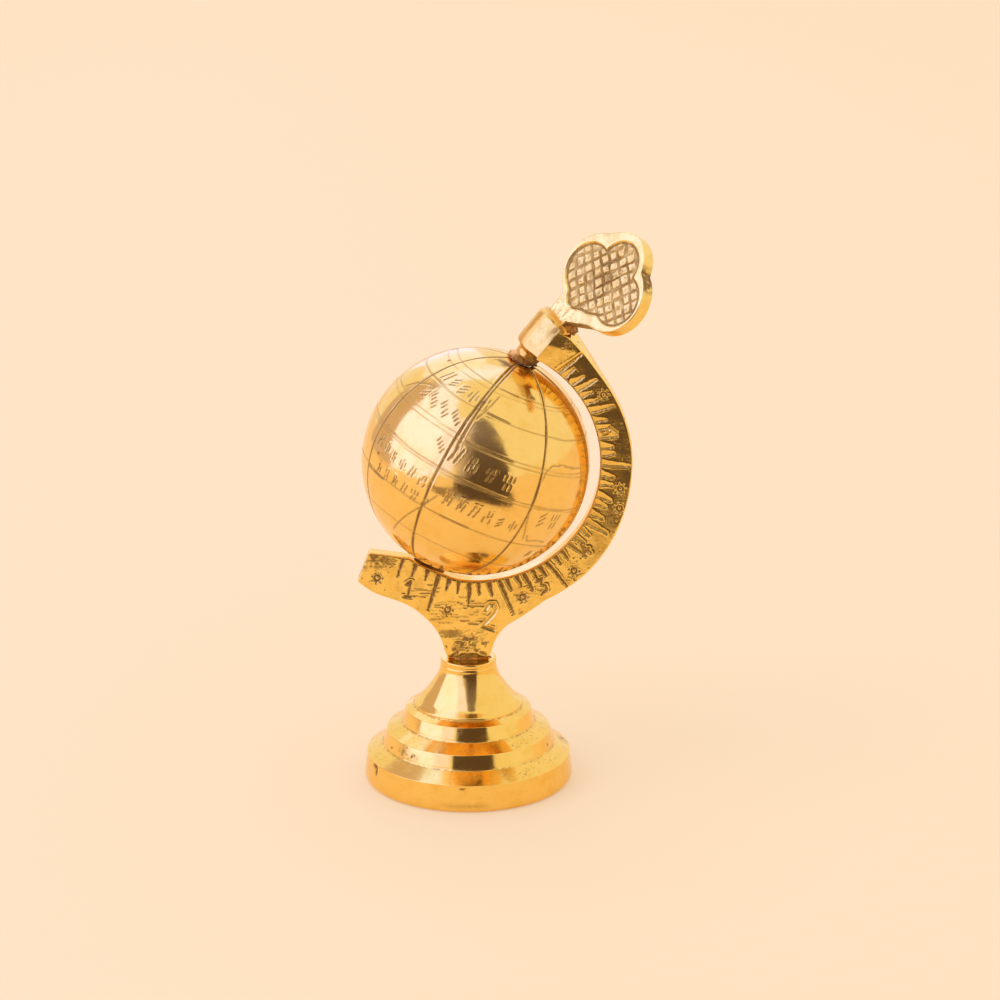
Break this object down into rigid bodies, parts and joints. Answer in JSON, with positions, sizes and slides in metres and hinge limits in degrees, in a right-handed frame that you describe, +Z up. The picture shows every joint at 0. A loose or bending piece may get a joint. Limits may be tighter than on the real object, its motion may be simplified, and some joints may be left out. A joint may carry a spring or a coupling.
{
  "type": "brass globe ornament",
  "caption": "Small brass desk globe: an engraved ball that turns in a flat marked meridian arm, with a clover-shaped finial, on a round stepped foot.",
  "frame": {"origin": "centre of the foot's flat underside", "axes": "+Z up; the meridian arm stands in the XZ plane with its scale facing -Y, and it opens towards -X; the globe's spin axis leans from +Z towards +X"},
  "size_m": [0.0601, 0.0465, 0.1176],
  "materials": {
    "foot_brass": "turned and polished bright, with faint turning rings, small pits and brown spots",
    "arm_brass": "flat polished face with brown patina, scratches and stamped scale marks",
    "ball_brass": "polished, with engraved lines that hold brown patina",
    "clover_brass": "smooth raised rim around a rough, hatched and browned field"
  },
  "bodies": {
    "stand": {"base": "foot_brass", "arm": "arm_brass", "finial": "clover_brass"},
    "ball": {"globe": "ball_brass"}
  },
  "joints": [
    {"name": "globe_spin", "type": "hinge", "parent": "stand", "child": "ball", "pos_m": [0.00164, 0, 0.0689], "axis": [0.3972, 0, 0.9178], "continuous": true}
  ]
}
